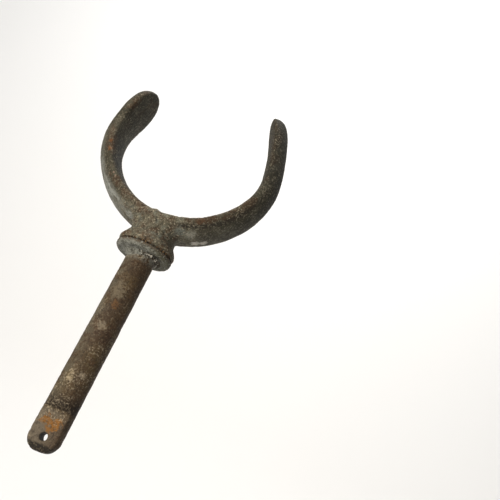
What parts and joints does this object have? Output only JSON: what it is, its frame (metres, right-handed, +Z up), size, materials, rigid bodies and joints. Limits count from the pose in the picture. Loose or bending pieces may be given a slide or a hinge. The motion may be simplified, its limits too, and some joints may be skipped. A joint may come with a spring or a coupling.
{
  "type": "rowlock",
  "caption": "Open-topped rowlock: a two-horned crutch for an oar on a collared round pin, with flats and a lanyard hole at the pin's lower end.",
  "frame": {"origin": "centre of the collar's underside, on the pin's axis, which is the plane that rests on the gunwale socket", "axes": "+Z up the pin's axis towards the horns, +X across the horns towards the longer one, Y along the oar"},
  "size_m": [0.0861, 0.0256, 0.1761],
  "materials": {
    "galvanised_iron": "weathered zinc-coated casting, matt, with rust along the ridges",
    "galvanised_ring": "weathered zinc coat, matt, pale grey",
    "bare_iron": "bare iron bar browned by rust, worn smooth"
  },
  "bodies": {
    "root": {"crutch": "galvanised_iron", "collar": "galvanised_ring", "pin": "bare_iron"}
  },
  "joints": []
}
